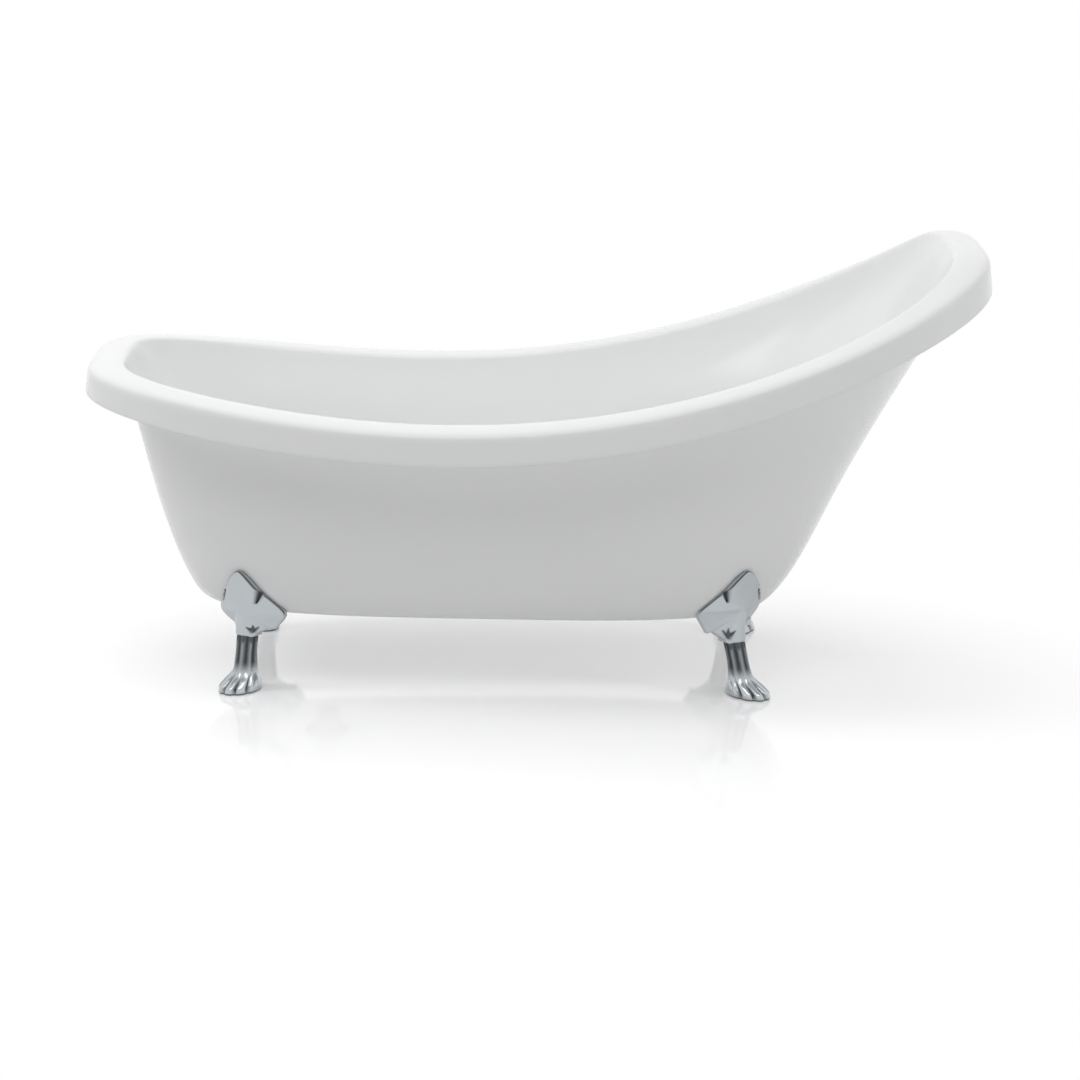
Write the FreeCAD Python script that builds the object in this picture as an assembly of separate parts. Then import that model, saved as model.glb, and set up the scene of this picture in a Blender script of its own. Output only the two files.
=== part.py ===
"""Clawfoot slipper bath: a double-skinned bath tub on four lion's paw feet.

All sizes are millimetres.  The origin lies on the floor under the middle of the bath.
+X points to the high, sloping head end, +Y to the back, +Z up.
Each skin of the bath flows through a stack of closed outlines, and each foot is a stack of
sections that turns from a paw into a fluted leg and then into a leaf.  Skins, feet and turned
pieces are built from small flat facets, so that the whole bath stays light to draw.
"""
import FreeCAD
import Part
import math
import os

Vector = FreeCAD.Vector
UP = Vector(0, 0, 1)

# ---- bath seen from above ----
HALF_LENGTH = 850.0
RIM_HALF_WIDTH = 390.0
RIM_WIDENING = 0.097
FOOT_END_SQUARENESS = 3.30
HEAD_END_SQUARENESS = 3.45
BASE_SQUARENESS = 3.4
COLUMNS = 80
# places along the stacks of outlines where one row of facets ends and the next begins
FRONT_PLACES = [0, 0.5, 1, 1.5, 2, 2.5, 3, 3.5, 4.25, 5.25, 7, 8, 9.5, 10.5, 11, 13]
BACK_PLACES = [0, 1, 1.5, 2, 2.5, 3, 3.5, 4.25, 5]
SKIRT_PLACES = [0, 0.5, 1, 1.5, 2, 2.5, 3, 3.5, 4, 5]
SKIRT_BACK_PLACES = [0, 1, 1.5, 2, 2.5, 3, 3.5, 4, 5]

# ---- bath seen from the side: rim height as a quartic of x / HALF_LENGTH ----
RIM_HEIGHT_TERMS = (550.6, 78.9, 201.1, 34.9, -30.8)
FOOT_END_TUCK = 0.18
BASE_HEIGHT = 146.0
FLOOR_HEIGHT = 190.0
FLOOR_FALL = 5.0

# ---- skins ----
APRON_DROP = 62.0
SOFFIT_DROP = 57.0
SKIRT_DROP = 59.0
FLOOR_THICKNESS = 6.0
SKIRT_THICKNESS = 4.0

# ---- base board between the two floors ----
BOARD_TOP = FLOOR_HEIGHT - FLOOR_THICKNESS
BOARD_BOTTOM = BASE_HEIGHT + SKIRT_THICKNESS
HOSE_SLOT_WIDTH = 44.0

# ---- waste and overflow ----
WASTE_X = -400.0
WASTE_HOLE_RADIUS = 24.0
SERVICE_HOLE_RADIUS = 46.0
FLANGE_RADIUS = 35.0
FLANGE_SEAT = 189.2
FLANGE_TOP = 192.4
TAIL_RADIUS = 23.0
WASTE_BORE = 20.0
STRAINER_HEIGHT = 176.0
OUTLET_RADIUS = 23.9
OUTLET_BOTTOM = 106.0
INLET_HEIGHT = 167.0
PLUG_RADIUS = 31.0
CAP_BOTTOM = 194.2
STEM_RADIUS = 4.0
STEM_CLEARANCE = 0.05
OVERFLOW_HEIGHT = 446.0
OVERFLOW_HOLE_RADIUS = 19.0
OVERFLOW_FLANGE_RADIUS = 26.0
COVER_RADIUS = 33.0
WALL_FRONT = -0.4
WALL_BACK = -6.2
SEAL_THICKNESS = 2.0
SPIGOT_DEPTH = -20.0
HOSE_RADIUS = 11.0
HOSE_BORE = 9.3
SPIGOT_RADIUS = 9.2
SPIGOT_BORE = 7.6
SPIGOT_REACH = 24.0
HOSE_SIDES = 24

# ---- feet ----
FOOT_TURN = 50.0
FOOT_PLACES = {"low": (-552.0, 208.0, -1), "high": (407.0, 208.0, 1)}
FOOT_START = {"low": (50.0, 1.2), "high": (70.0, 1.2)}
# sideways lean of the leg towards the middle of the bath, and lift of the leaf
FOOT_LEAN = {"low": -3.0, "high": -21.0}
LEAF_RISE = {"low": 0.0, "high": 16.0}
LEAN_HEIGHT = 110.0
LEAF_BOTTOM = 112.0
LEAF_WIDEST = 151.0
SEAT_HEIGHT = 160.0
FOOT_GAP = 1.2
BOLT_SETBACK = 87.0
BOLT_RADIUS = 5.0
BOLT_HOLE_RADIUS = 5.5
BOLT_HEAD_FLATS = 17.0
WASHER_THICKNESS = 2.0
WASHER_RADIUS = 10.0
LUG_THICKNESS = 12.0
LUG_WIDTH = 40.0

# ---- levellers ----
LEVELLER_SETBACK = 8.0
LEVELLER_RADIUS = 5.0
LEVELLER_CLEARANCE = 0.05
LEVELLER_TOP = 44.0
PAD_RADIUS = 15.0
PAD_HEIGHT = 5.0
SOCKET_RADIUS = 5.5
SOCKET_BOTTOM = 2.0
SECTION_POINTS = 24
# height, half width, half depth, forward shift, flute depth, toe depth, share of tub's curve
FOOT_SECTIONS = [
    (1.0, 33.5, 45.5, 0.0, 0.0, 0.08, 0.0),
    (5.0, 35.0, 47.0, 0.0, 0.0, 0.12, 0.0),
    (12.0, 35.0, 46.0, -0.5, 0.0, 0.14, 0.0),
    (22.0, 31.5, 38.0, -5.0, 0.0, 0.12, 0.0),
    (32.0, 26.0, 28.0, -9.5, 0.02, 0.05, 0.0),
    (42.0, 23.6, 23.5, -12.5, 0.10, 0.0, 0.0),
    (70.0, 22.0, 20.0, -14.5, 0.15, 0.0, 0.0),
    (104.0, 23.5, 19.5, -17.5, 0.13, 0.0, 0.0),
    (112.0, 30.0, 19.0, -18.0, 0.02, 0.0, 0.0),
    (119.0, 41.0, 17.0, -17.5, 0.0, 0.0, 0.1),
    (127.0, 51.0, 12.0, -17.0, 0.0, 0.0, 0.45),
    (137.0, 54.0, 8.5, -17.0, 0.0, 0.0, 0.8),
    (151.0, 65.0, 5.5, 0.0, 0.0, 0.0, 1.0),
    (162.0, 60.0, 4.5, 0.0, 0.0, 0.0, 1.0),
    (173.0, 53.0, 4.0, 0.0, 0.0, 0.0, 1.0),
    (184.0, 43.5, 4.0, 0.0, 0.0, 0.0, 1.0),
    (196.0, 34.5, 4.5, 0.0, 0.0, 0.0, 1.0),
    (212.0, 24.5, 5.0, 0.0, 0.0, 0.0, 1.0),
    (225.0, 13.5, 4.5, 0.0, 0.0, 0.0, 1.0),
    (234.5, 3.0, 3.0, 0.0, 0.0, 0.0, 1.0),
]
# sides of a turned piece
SIDES = 36


# ======================= outlines =======================
def rim_height(x):
    u = x / HALF_LENGTH
    return sum(term * u ** power for power, term in enumerate(RIM_HEIGHT_TERMS))


def oval_point(angle, foot_x, head_x, half_width, squareness):
    """Point of a superellipse that widens towards the head end."""
    c, s = math.cos(angle), math.sin(angle)
    reach = (abs(c) ** squareness + abs(s) ** squareness) ** (-1.0 / squareness)
    x = 0.5 * (foot_x + head_x) + 0.5 * (head_x - foot_x) * reach * c
    y = half_width * reach * s * (1.0 + RIM_WIDENING * x / HALF_LENGTH)
    return Vector(x, y, 0)


def column_angles():
    return [2.0 * math.pi * column / COLUMNS for column in range(COLUMNS)]


def oval_row(foot_x, head_x, half_width, height, squareness=BASE_SQUARENESS):
    """One closed outline; height is a number or a (foot end, head end) pair."""
    low, high = height if isinstance(height, tuple) else (height, height)
    row = []
    for angle in column_angles():
        point = oval_point(angle, foot_x, head_x, half_width, squareness)
        share = (point.x - foot_x) / (head_x - foot_x)
        row.append(Vector(point.x, point.y, low + (high - low) * share))
    return row


def rim_point(angle):
    squareness = HEAD_END_SQUARENESS if math.cos(angle) > 0 else FOOT_END_SQUARENESS
    return oval_point(angle, -HALF_LENGTH, HALF_LENGTH, RIM_HALF_WIDTH, squareness)


def rim_row(inset, drop):
    """Outline inside the rim's outer edge and below its top; drops shrink at the foot end."""
    step = 1e-3
    row = []
    for angle in column_angles():
        edge = rim_point(angle)
        along = rim_point(angle + step) - rim_point(angle - step)
        outward = along.cross(UP).normalize()
        point = edge - outward * inset
        tuck = 1.0 - FOOT_END_TUCK * max(0.0, -edge.x / HALF_LENGTH) ** 6
        row.append(Vector(point.x, point.y, rim_height(edge.x) - drop * tuck))
    return row


def moved_row(row, outward, up):
    """The row moved along its own normal in plan, and upwards."""
    count = len(row)
    moved = []
    for i, point in enumerate(row):
        along = row[(i + 1) % count] - row[i - 1]
        along.z = 0
        side = along.cross(UP).normalize()
        moved.append(point + side * outward + UP * up)
    return moved


def flowing_curve(points):
    """Cubic curve drawn towards the points, touching the first and the last."""
    spans = len(points) - 3
    curve = Part.BSplineCurve()
    curve.buildFromPolesMultsKnots(points, [4] + [1] * (spans - 1) + [4],
                                   list(range(spans + 1)), False, 3)
    return curve


def slices(rows, places):
    """Outlines of the smooth form drawn through the rows, at places along the stack."""
    curves = [flowing_curve(list(column)) for column in zip(*rows)]
    return [[curve.value(place) for curve in curves] for place in places]


# ======================= surfaces and solids =======================
def closed_poles(points):
    """Control points of a closed cubic curve that passes through the points."""
    count = len(points)
    poles = []
    for i, point in enumerate(points):
        bend = points[(i + 1) % count] - point * 2.0 + points[i - 1]
        poles.append(point - bend * (1.0 / 6.0))
    return poles


def skin(rows, degree):
    """Surface closed around the rows; degree 1 is ruled from row to row."""
    columns = list(zip(*[closed_poles(row) for row in rows]))
    spans = len(rows) - degree
    surface = Part.BSplineSurface()
    surface.buildFromPolesMultsKnots(
        [list(column) for column in columns],
        [1] * (len(columns) + 1), [degree + 1] + [1] * (spans - 1) + [degree + 1],
        list(range(len(columns) + 1)), list(range(spans + 1)),
        True, False, 3, degree)
    return surface


def flat_face(corners):
    return Part.Face(Part.makePolygon(corners + corners[:1]))


def facets(rows):
    """Two triangles in each cell between neighbouring points of neighbouring outlines."""
    faces = []
    for low, high in zip(rows, rows[1:]):
        for i in range(len(low)):
            ahead = (i + 1) % len(low)
            faces.append(flat_face([low[i], low[ahead], high[ahead]]))
            faces.append(flat_face([low[i], high[ahead], high[i]]))
    return faces


def closed_solid(faces):
    shell = Part.makeCompound(faces)
    shell.sewShape()
    solid = Part.makeSolid(shell.Shells[0])
    if solid.Volume < 0:
        solid.reverse()
    return solid


def stacked(rows):
    """Solid between a flat first outline and a flat last one."""
    return closed_solid(facets(rows) + [flat_face(rows[0]), flat_face(rows[-1])])


def bowl(outer_rows, inner_rows):
    """Open bowl between two stacks of outlines, each with a flat floor."""
    edge = facets([outer_rows[-1], inner_rows[-1]])
    floors = [flat_face(outer_rows[0]), flat_face(inner_rows[0])]
    return closed_solid(facets(outer_rows) + facets(inner_rows) + edge + floors)


def rod(radius, bottom, top, x=0.0, y=0.0):
    return Part.makeCylinder(radius, top - bottom, Vector(x, y, bottom))


def ring(outer, inner, bottom, top, x=0.0, y=0.0):
    return rod(outer, bottom, top, x, y).cut(rod(inner, bottom - 1, top + 1, x, y))


def turned(profile, x=0.0, y=0.0):
    """Turn a closed (radius, height) profile about a vertical axis, in flat sides."""
    turns = [2.0 * math.pi * side / SIDES for side in range(SIDES + 1)]
    rings = [[Vector(x + radius * math.cos(turn), y + radius * math.sin(turn), height) for turn in turns]
             for radius, height in profile]
    on_axis = [radius == 0 for radius, _ in profile]
    faces = []
    for i in range(len(rings)):
        low, high = rings[i - 1], rings[i]
        for side in range(SIDES):
            corners = [low[side], low[side + 1], high[side + 1], high[side]]
            if on_axis[i - 1]:
                corners = corners[1:]
            if on_axis[i]:
                corners = corners[:-1]
            if len(corners) > 2:
                faces.append(flat_face(corners))
    return closed_solid(faces).removeSplitter()


def turned_ring(outer, inner, bottom, top, x=0.0, y=0.0):
    return turned([(inner, bottom), (outer, bottom), (outer, top), (inner, top)], x, y)


def hexagon(across_flats, bottom, top, x=0.0, y=0.0):
    reach = across_flats / math.sqrt(3.0)
    corners = [Vector(x + reach * math.cos(k * math.pi / 3), y + reach * math.sin(k * math.pi / 3),
                      bottom) for k in range(7)]
    return Part.Face(Part.makePolygon(corners)).extrude(UP * (top - bottom))


# ======================= bath skins =======================
def basin_outlines():
    """Basin from the floor, up the walls and over the rolled rim to the apron's edge."""
    head_floor = FLOOR_HEIGHT + FLOOR_FALL
    deep = [
        oval_row(-515, 350, 160, (FLOOR_HEIGHT, head_floor), 2.8),
        oval_row(-560, 402, 195, (FLOOR_HEIGHT, head_floor), 3.0),
        oval_row(-602, 450, 226, (205, 222)),
        oval_row(-630, 530, 248, (290, 345)),
        oval_row(-676, 637, 268, (400, 545)),
    ]
    rolled = [(106, 90), (84, 34), (76, 10), (72, 0), (60, -2), (42, -2), (22, 0),
              (6, 7), (4, 27), (2, 46), (0, APRON_DROP)]
    return deep + [rim_row(inset, drop) for inset, drop in rolled]


def basin_back_outlines():
    """The basin's hidden side, one sheet thickness behind the side that is seen."""
    front = basin_outlines()
    level = [[Vector(point.x, point.y, BOARD_TOP) for point in row]
             for row in (front[0], moved_row(front[1], 2, 0))]
    deep = level + [moved_row(front[2], 5, -4), moved_row(front[3], 6, -2),
                    moved_row(front[4], 6, -2)]
    return deep + [rim_row(inset, drop) for inset, drop in [(101, 94), (93, 74), (87, SOFFIT_DROP)]]


def skirt_outlines():
    """Outer skin from the flat bottom up into the hollow of the rim."""
    low = [
        oval_row(-592, 400, 203, BASE_HEIGHT),
        oval_row(-630, 438, 236, BASE_HEIGHT),
        oval_row(-653, 466, 256, 167),
        oval_row(-688, 520, 269, 246),
        oval_row(-722, 598, 284, (350, 430)),
    ]
    return low + [rim_row(inset, drop) for inset, drop in [(91, 112), (82, 82), (79, SKIRT_DROP)]]


def skirt_inner_outlines():
    inward = [0.0, 0.0, 2.8, 4.0, 4.0, 4.0, 4.0, 4.0]
    lift = [SKIRT_THICKNESS, SKIRT_THICKNESS, 2.8, 1.0, 1.0, 1.0, 0.8, 0.0]
    return [moved_row(row, -back, up) for row, back, up in zip(skirt_outlines(), inward, lift)]


def foot_end_point(outlines, height):
    """Point and upward direction on the foot end of a skin, in the middle of the width."""
    curve = flowing_curve([row[COLUMNS // 2] for row in outlines])
    low, high = 0.0, 5.0
    for _ in range(40):
        middle = 0.5 * (low + high)
        if curve.value(middle).z < height:
            low = middle
        else:
            high = middle
    return curve.value(low), Vector(*curve.tangent(low)[0])


def inner_shell():
    """Basin with its rolled rim, waste hole and overflow hole."""
    shell = bowl(slices(basin_back_outlines(), BACK_PLACES), slices(basin_outlines(), FRONT_PLACES))
    shell = shell.cut(rod(WASTE_HOLE_RADIUS, BOARD_TOP - 5, FLOOR_HEIGHT + 10, WASTE_X))
    shell = shell.cut(rod(FLANGE_RADIUS + 0.5, FLANGE_SEAT, FLOOR_HEIGHT + 10, WASTE_X))
    shell = shell.cut(on_end_wall(rod(OVERFLOW_HOLE_RADIUS, -20, 20)))
    shell = shell.cut(on_end_wall(rod(COVER_RADIUS + 1.0, WALL_FRONT, 20)))
    return shell.cut(on_end_wall(rod(OVERFLOW_FLANGE_RADIUS + 1.0, -20, WALL_BACK)))


def outer_skirt():
    """Outer skin with a service hole under the waste and a hole for each foot bolt."""
    skirt = bowl(slices(skirt_outlines(), SKIRT_PLACES),
                 slices(skirt_inner_outlines(), SKIRT_BACK_PLACES))
    skirt = skirt.cut(rod(SERVICE_HOLE_RADIUS, BASE_HEIGHT - 5, BASE_HEIGHT + 10, WASTE_X))
    for x, y in bolt_places():
        skirt = skirt.cut(rod(BOLT_HOLE_RADIUS, BASE_HEIGHT - 5, BASE_HEIGHT + 10, x, y))
    return skirt


# ======================= base board =======================
def base_board():
    """Board between the floors, with a keyhole cut-out for the waste and its overflow pipe."""
    outline = oval_row(-575, 380, 198, BOARD_BOTTOM)
    board = stacked([outline, moved_row(outline, 0, BOARD_TOP - BOARD_BOTTOM)])
    keyhole = rod(SERVICE_HOLE_RADIUS, BOARD_BOTTOM - 1, BOARD_TOP + 1, WASTE_X)
    slot = Part.makeBox(300, HOSE_SLOT_WIDTH, BOARD_TOP - BOARD_BOTTOM + 2,
                        Vector(WASTE_X - 300, -0.5 * HOSE_SLOT_WIDTH, BOARD_BOTTOM - 1))
    board = board.cut(keyhole.fuse(slot))
    for x, y in bolt_places():
        board = board.cut(rod(BOLT_RADIUS + 0.03, BOARD_BOTTOM - 1, BOARD_TOP + 1, x, y))
    return board


def washer(x, y):
    top = BASE_HEIGHT - LUG_THICKNESS
    return turned_ring(WASHER_RADIUS, BOLT_HOLE_RADIUS, top - WASHER_THICKNESS, top, x, y)


def foot_screw(x, y):
    """Coach screw from under the foot's lug up into the base board."""
    head_top = BASE_HEIGHT - LUG_THICKNESS - WASHER_THICKNESS
    head = hexagon(BOLT_HEAD_FLATS, head_top - 6.4, head_top, x, y)
    return head.fuse(rod(BOLT_RADIUS, head_top - 1, BOARD_TOP - 3, x, y))


# ======================= feet =======================
def foot_frame(end, side):
    """Origin, outward direction and sideways direction of a foot; side is -1 or +1 in Y."""
    x, reach_y, end_sign = FOOT_PLACES[end]
    turn = math.radians(FOOT_TURN)
    forward = Vector(end_sign * math.cos(turn), side * math.sin(turn), 0)
    return Vector(x, side * reach_y, 0), forward, forward.cross(UP) * (side * end_sign)


def bolt_places():
    places = []
    for end in FOOT_PLACES:
        for side in (-1, 1):
            origin, forward, _ = foot_frame(end, side)
            spot = origin - forward * BOLT_SETBACK
            places.append((spot.x, spot.y))
    return places


def skin_depth(surface, origin, forward, across, start, offset, height):
    """Distance from the foot's axis plane to the bath, at a sideways offset and a height."""
    u, v = start
    step = 1e-3
    for _ in range(12):
        here = surface.value(u, v) - origin
        miss_s, miss_z = here.dot(across) - offset, here.z - height
        du = (surface.value(u + step, v) - origin - here) * (1 / step)
        dv = (surface.value(u, v + step) - origin - here) * (1 / step)
        a, b, c, d = du.dot(across), dv.dot(across), du.z, dv.z
        scale = a * d - b * c
        u -= (d * miss_s - b * miss_z) / scale
        v = min(max(v - (a * miss_z - c * miss_s) / scale, 0.02), 5.5)
    return (surface.value(u, v) - origin).dot(forward), (u, v)


def lobes(angle, depth, count, spread):
    """Ripple over the front of a section, fading out at the sides."""
    turn = (angle + math.pi) % (2 * math.pi) - math.pi
    if abs(turn) > spread:
        return 1.0
    fade = math.cos(0.5 * math.pi * turn / spread) ** 0.5
    return 1.0 - depth * fade * 0.5 * (1.0 - math.cos(2 * math.pi * count * turn / (2 * spread)))


def foot_outlines(end, side):
    origin, forward, across = foot_frame(end, side)
    surface = skin(skirt_outlines(), 3)
    start = FOOT_START[end]
    if side > 0:
        start = (COLUMNS - start[0], start[1])
    outlines = []
    for height, half_width, half_depth, shift, flute, toe, follow in FOOT_SECTIONS:
        lean = FOOT_LEAN[end] * min(height / LEAN_HEIGHT, 1.0)
        rise = LEAF_RISE[end] * min(max((height - LEAF_BOTTOM) / (LEAF_WIDEST - LEAF_BOTTOM), 0.0), 1.0)
        row = []
        spot = start
        for k in range(SECTION_POINTS):
            angle = 2 * math.pi * k / SECTION_POINTS
            c, s = math.cos(angle), math.sin(angle)
            flat = 1.0 - 0.6 * follow
            ripple = lobes(angle, flute, 3, 1.9) * lobes(angle, toe, 4, 1.35)
            offset = lean + half_width * s * ripple
            depth = half_depth * math.copysign(abs(c) ** flat, c) * ripple
            middle = shift
            if follow > 0:
                reach, spot = skin_depth(surface, origin, forward, across, spot, offset,
                                         max(height + rise, SEAT_HEIGHT))
                middle = shift * (1 - follow) + (reach + FOOT_GAP + half_depth) * follow
            row.append(origin + forward * (middle + depth) + across * offset + UP * (height + rise))
        outlines.append(row)
    return outlines


def claw_foot(end):
    """Cast foot at the front: leaf, fluted leg, paw and a lug under the bath for its bolt."""
    origin, forward, across = foot_frame(end, -1)
    casting = stacked(foot_outlines(end, -1))
    corner = origin - forward * (BOLT_SETBACK + 18.0) - across * (0.5 * LUG_WIDTH)
    lug = Part.Face(Part.makePolygon([
        corner, corner + across * LUG_WIDTH, corner + across * LUG_WIDTH + forward * 95.0,
        corner + forward * 95.0, corner])).extrude(UP * LUG_THICKNESS)
    lug.translate(UP * (BASE_HEIGHT - LUG_THICKNESS))
    bolt = origin - forward * BOLT_SETBACK
    lug = lug.cut(rod(BOLT_HOLE_RADIUS, BASE_HEIGHT - 20, BASE_HEIGHT + 1, bolt.x, bolt.y))
    axis = origin - forward * LEVELLER_SETBACK
    casting = casting.fuse(lug)
    casting = casting.cut(rod(LEVELLER_RADIUS + LEVELLER_CLEARANCE, 0, LEVELLER_TOP + 4, axis.x, axis.y))
    return casting.cut(rod(PAD_RADIUS + 0.6, 0, PAD_HEIGHT + 1.0, axis.x, axis.y))


def leveller_places():
    places = {}
    for end in FOOT_PLACES:
        for side_name, side in (("front", -1), ("back", 1)):
            origin, forward, _ = foot_frame(end, side)
            axis = origin - forward * LEVELLER_SETBACK
            places[side_name + "_" + end] = (axis.x, axis.y)
    return places


def leveller_pad(x, y):
    """Round glide with a socket for the end of its screw."""
    return turned([(0, 0), (PAD_RADIUS, 0), (PAD_RADIUS, PAD_HEIGHT), (SOCKET_RADIUS, PAD_HEIGHT),
                   (SOCKET_RADIUS, SOCKET_BOTTOM), (0, SOCKET_BOTTOM)], x, y)


def leveller_screw(x, y):
    return rod(LEVELLER_RADIUS, SOCKET_BOTTOM + 0.3, LEVELLER_TOP, x, y)


# ======================= waste =======================
def waste_flange():
    """Chromed ring in the floor, its tail and the strainer cross that guides the plug's stem."""
    body = turned([(WASTE_BORE, 157.0), (TAIL_RADIUS, 157.0), (TAIL_RADIUS, FLANGE_SEAT + 1.0),
                   (FLANGE_RADIUS, FLANGE_SEAT + 1.0), (32.0, FLANGE_TOP), (26.0, FLANGE_TOP),
                   (WASTE_BORE, 188.0)], WASTE_X)
    low = STRAINER_HEIGHT - 8.0
    for width, length, height in [(12.0, 12.0, 14.0), (2 * WASTE_BORE + 2.0, 3.0, 5.0),
                                  (3.0, 2 * WASTE_BORE + 2.0, 5.0)]:
        bar = Part.makeBox(width, length, height, Vector(WASTE_X - 0.5 * width, -0.5 * length, low))
        body = body.fuse(bar)
    guide = rod(STEM_RADIUS + STEM_CLEARANCE, low - 1, low + 20.0, WASTE_X)
    return body.cut(guide)


def waste_gaskets():
    """Two seals that clamp the floor of the basin, one above it and one below."""
    over = turned_ring(33.0, WASTE_HOLE_RADIUS, FLANGE_SEAT, FLANGE_SEAT + 1.0, WASTE_X)
    under = turned_ring(31.0, WASTE_HOLE_RADIUS, BOARD_TOP - 3.0, BOARD_TOP, WASTE_X)
    return Part.makeCompound([over, under])


def waste_body():
    """Tee under the floor: socket for the flange's tail, pipe spigot and outlet."""
    shoulder = 150.0
    socket = turned([(WASTE_BORE, shoulder), (27, shoulder), (31, 177), (31, 181), (23.1, 181),
                     (23.1, 156.5), (WASTE_BORE, 156.5)], WASTE_X)
    outlet = ring(OUTLET_RADIUS, WASTE_BORE, OUTLET_BOTTOM, 154.0, WASTE_X)
    axis = Vector(-1, 0, 0)
    level = Vector(WASTE_X - 25.0, 0, INLET_HEIGHT)
    spigot = Part.makeCylinder(SPIGOT_RADIUS, SPIGOT_REACH, level, axis)
    bore = Part.makeCylinder(SPIGOT_BORE, SPIGOT_REACH + 10, level + Vector(6, 0, 0), axis)
    return socket.fuse(outlet).fuse(spigot).cut(bore)


def plug_cap():
    return turned([(0, CAP_BOTTOM), (PLUG_RADIUS, CAP_BOTTOM), (PLUG_RADIUS, CAP_BOTTOM + 1.2),
                   (20, CAP_BOTTOM + 3.4), (0, CAP_BOTTOM + 4.0)], WASTE_X)


def plug_seal():
    return turned_ring(30.0, 26.5, FLANGE_TOP + 0.3, CAP_BOTTOM, WASTE_X)


def plug_stem():
    return rod(STEM_RADIUS, 167.0, CAP_BOTTOM, WASTE_X)


# ======================= overflow =======================
def on_end_wall(shape):
    """Place a shape on the foot end wall: its Z leaves the wall, its X climbs the wall."""
    point, climb = foot_end_point(basin_outlines(), OVERFLOW_HEIGHT)
    out = Vector(climb.z, 0, -climb.x)
    side = out.cross(climb)
    matrix = FreeCAD.Matrix(climb.x, side.x, out.x, point.x, climb.y, side.y, out.y, point.y,
                            climb.z, side.z, out.z, point.z, 0, 0, 0, 1)
    placed = shape.copy()
    placed.Placement = FreeCAD.Placement(matrix).multiply(shape.Placement)
    return placed


def overflow_cover():
    """Hollow rosette with water slots along its lower edge and a hole for its screw."""
    cover = turned([(COVER_RADIUS - 2, WALL_FRONT), (COVER_RADIUS, WALL_FRONT), (COVER_RADIUS, 6),
                    (24, 9), (2.7, 9), (2.7, 7), (COVER_RADIUS - 2, 7)])
    for k in range(3):
        slot = Part.makeBox(8, 9, 4.4, Vector(COVER_RADIUS - 5, -4.5, WALL_FRONT - 0.4))
        slot.rotate(Vector(), UP, 180 + 30 * (k - 1))
        cover = cover.cut(slot)
    return on_end_wall(cover)


def overflow_screw():
    return on_end_wall(turned([(0, -18), (2.5, -18), (2.5, 9), (5, 9), (3.5, 11.4), (0, 11.4)]))


def overflow_seal():
    return on_end_wall(turned_ring(OVERFLOW_FLANGE_RADIUS, OVERFLOW_HOLE_RADIUS,
                                   WALL_BACK - SEAL_THICKNESS, WALL_BACK))


def overflow_elbow():
    """Cup behind the wall with a screw boss in its middle and a spigot pointing down."""
    seat = WALL_BACK - SEAL_THICKNESS
    cup = turned([(0, -31), (20, -31), (20, seat - 2.5), (OVERFLOW_FLANGE_RADIUS, seat - 2.5),
                  (OVERFLOW_FLANGE_RADIUS, seat), (17.5, seat), (17.5, -28.5), (5, -28.5), (5, -6),
                  (2.55, -6), (2.55, -20), (0, -20)])
    axis = Vector(-1, 0, 0)
    spigot = Part.makeCylinder(HOSE_RADIUS, 10.0, Vector(-17.5, 0, SPIGOT_DEPTH), axis)
    bore = Part.makeCylinder(HOSE_BORE, 30, Vector(-10, 0, SPIGOT_DEPTH), axis)
    return on_end_wall(cup.fuse(spigot).cut(bore.cut(rod(5, -40, 0))))


def pipe_route():
    """Corner points of the overflow pipe, from the elbow to the waste body."""
    points = [on_end_wall(Part.Vertex(-reach, 0, SPIGOT_DEPTH)).Point for reach in (27.5, 75.0)]
    for height in (310.0, 222.0):
        wall, _ = foot_end_point(basin_back_outlines(), height)
        skirt, _ = foot_end_point(skirt_inner_outlines(), height)
        points.append((wall + skirt) * 0.5)
    return points + [Vector(-612, 0, INLET_HEIGHT), Vector(WASTE_X - 34.0, 0, INLET_HEIGHT)]


def eased(points):
    """The route with each corner bent in steps."""
    route = [points[0]]
    for before, corner, after in zip(points, points[1:], points[2:]):
        back, ahead = (before - corner), (after - corner)
        run = 0.45 * min(back.Length, ahead.Length)
        enter, leave = corner + back.normalize() * run, corner + ahead.normalize() * run
        route += [enter, enter * 0.25 + corner * 0.5 + leave * 0.25, leave]
    return route + [points[-1]]


def hose_rings(route, radius):
    """Mitred rings around a route that lies in the bath's middle plane."""
    rings = []
    for i, centre in enumerate(route):
        come = (centre - route[i - 1] if i else route[1] - centre).normalize()
        leave = (route[i + 1] - centre if i + 1 < len(route) else come * 1.0).normalize()
        along = (come + leave).normalize()
        wide = radius / along.dot(come)
        across = Vector(along.z, 0, -along.x)
        turns = [2 * math.pi * k / HOSE_SIDES for k in range(HOSE_SIDES)]
        rings.append([centre + across * (wide * math.sin(turn)) + Vector(0, radius * math.cos(turn), 0)
                      for turn in turns])
    return rings


def overflow_pipe():
    """Elbow and flexible pipe, moulded in one piece, down to the waste body's spigot."""
    route = eased(pipe_route())
    outer, inner = hose_rings(route, HOSE_RADIUS), hose_rings(route, HOSE_BORE)
    ends = facets([outer[0], inner[0]]) + facets([outer[-1], inner[-1]])
    return closed_solid(facets(outer) + facets(inner) + ends).fuse(overflow_elbow())


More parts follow.
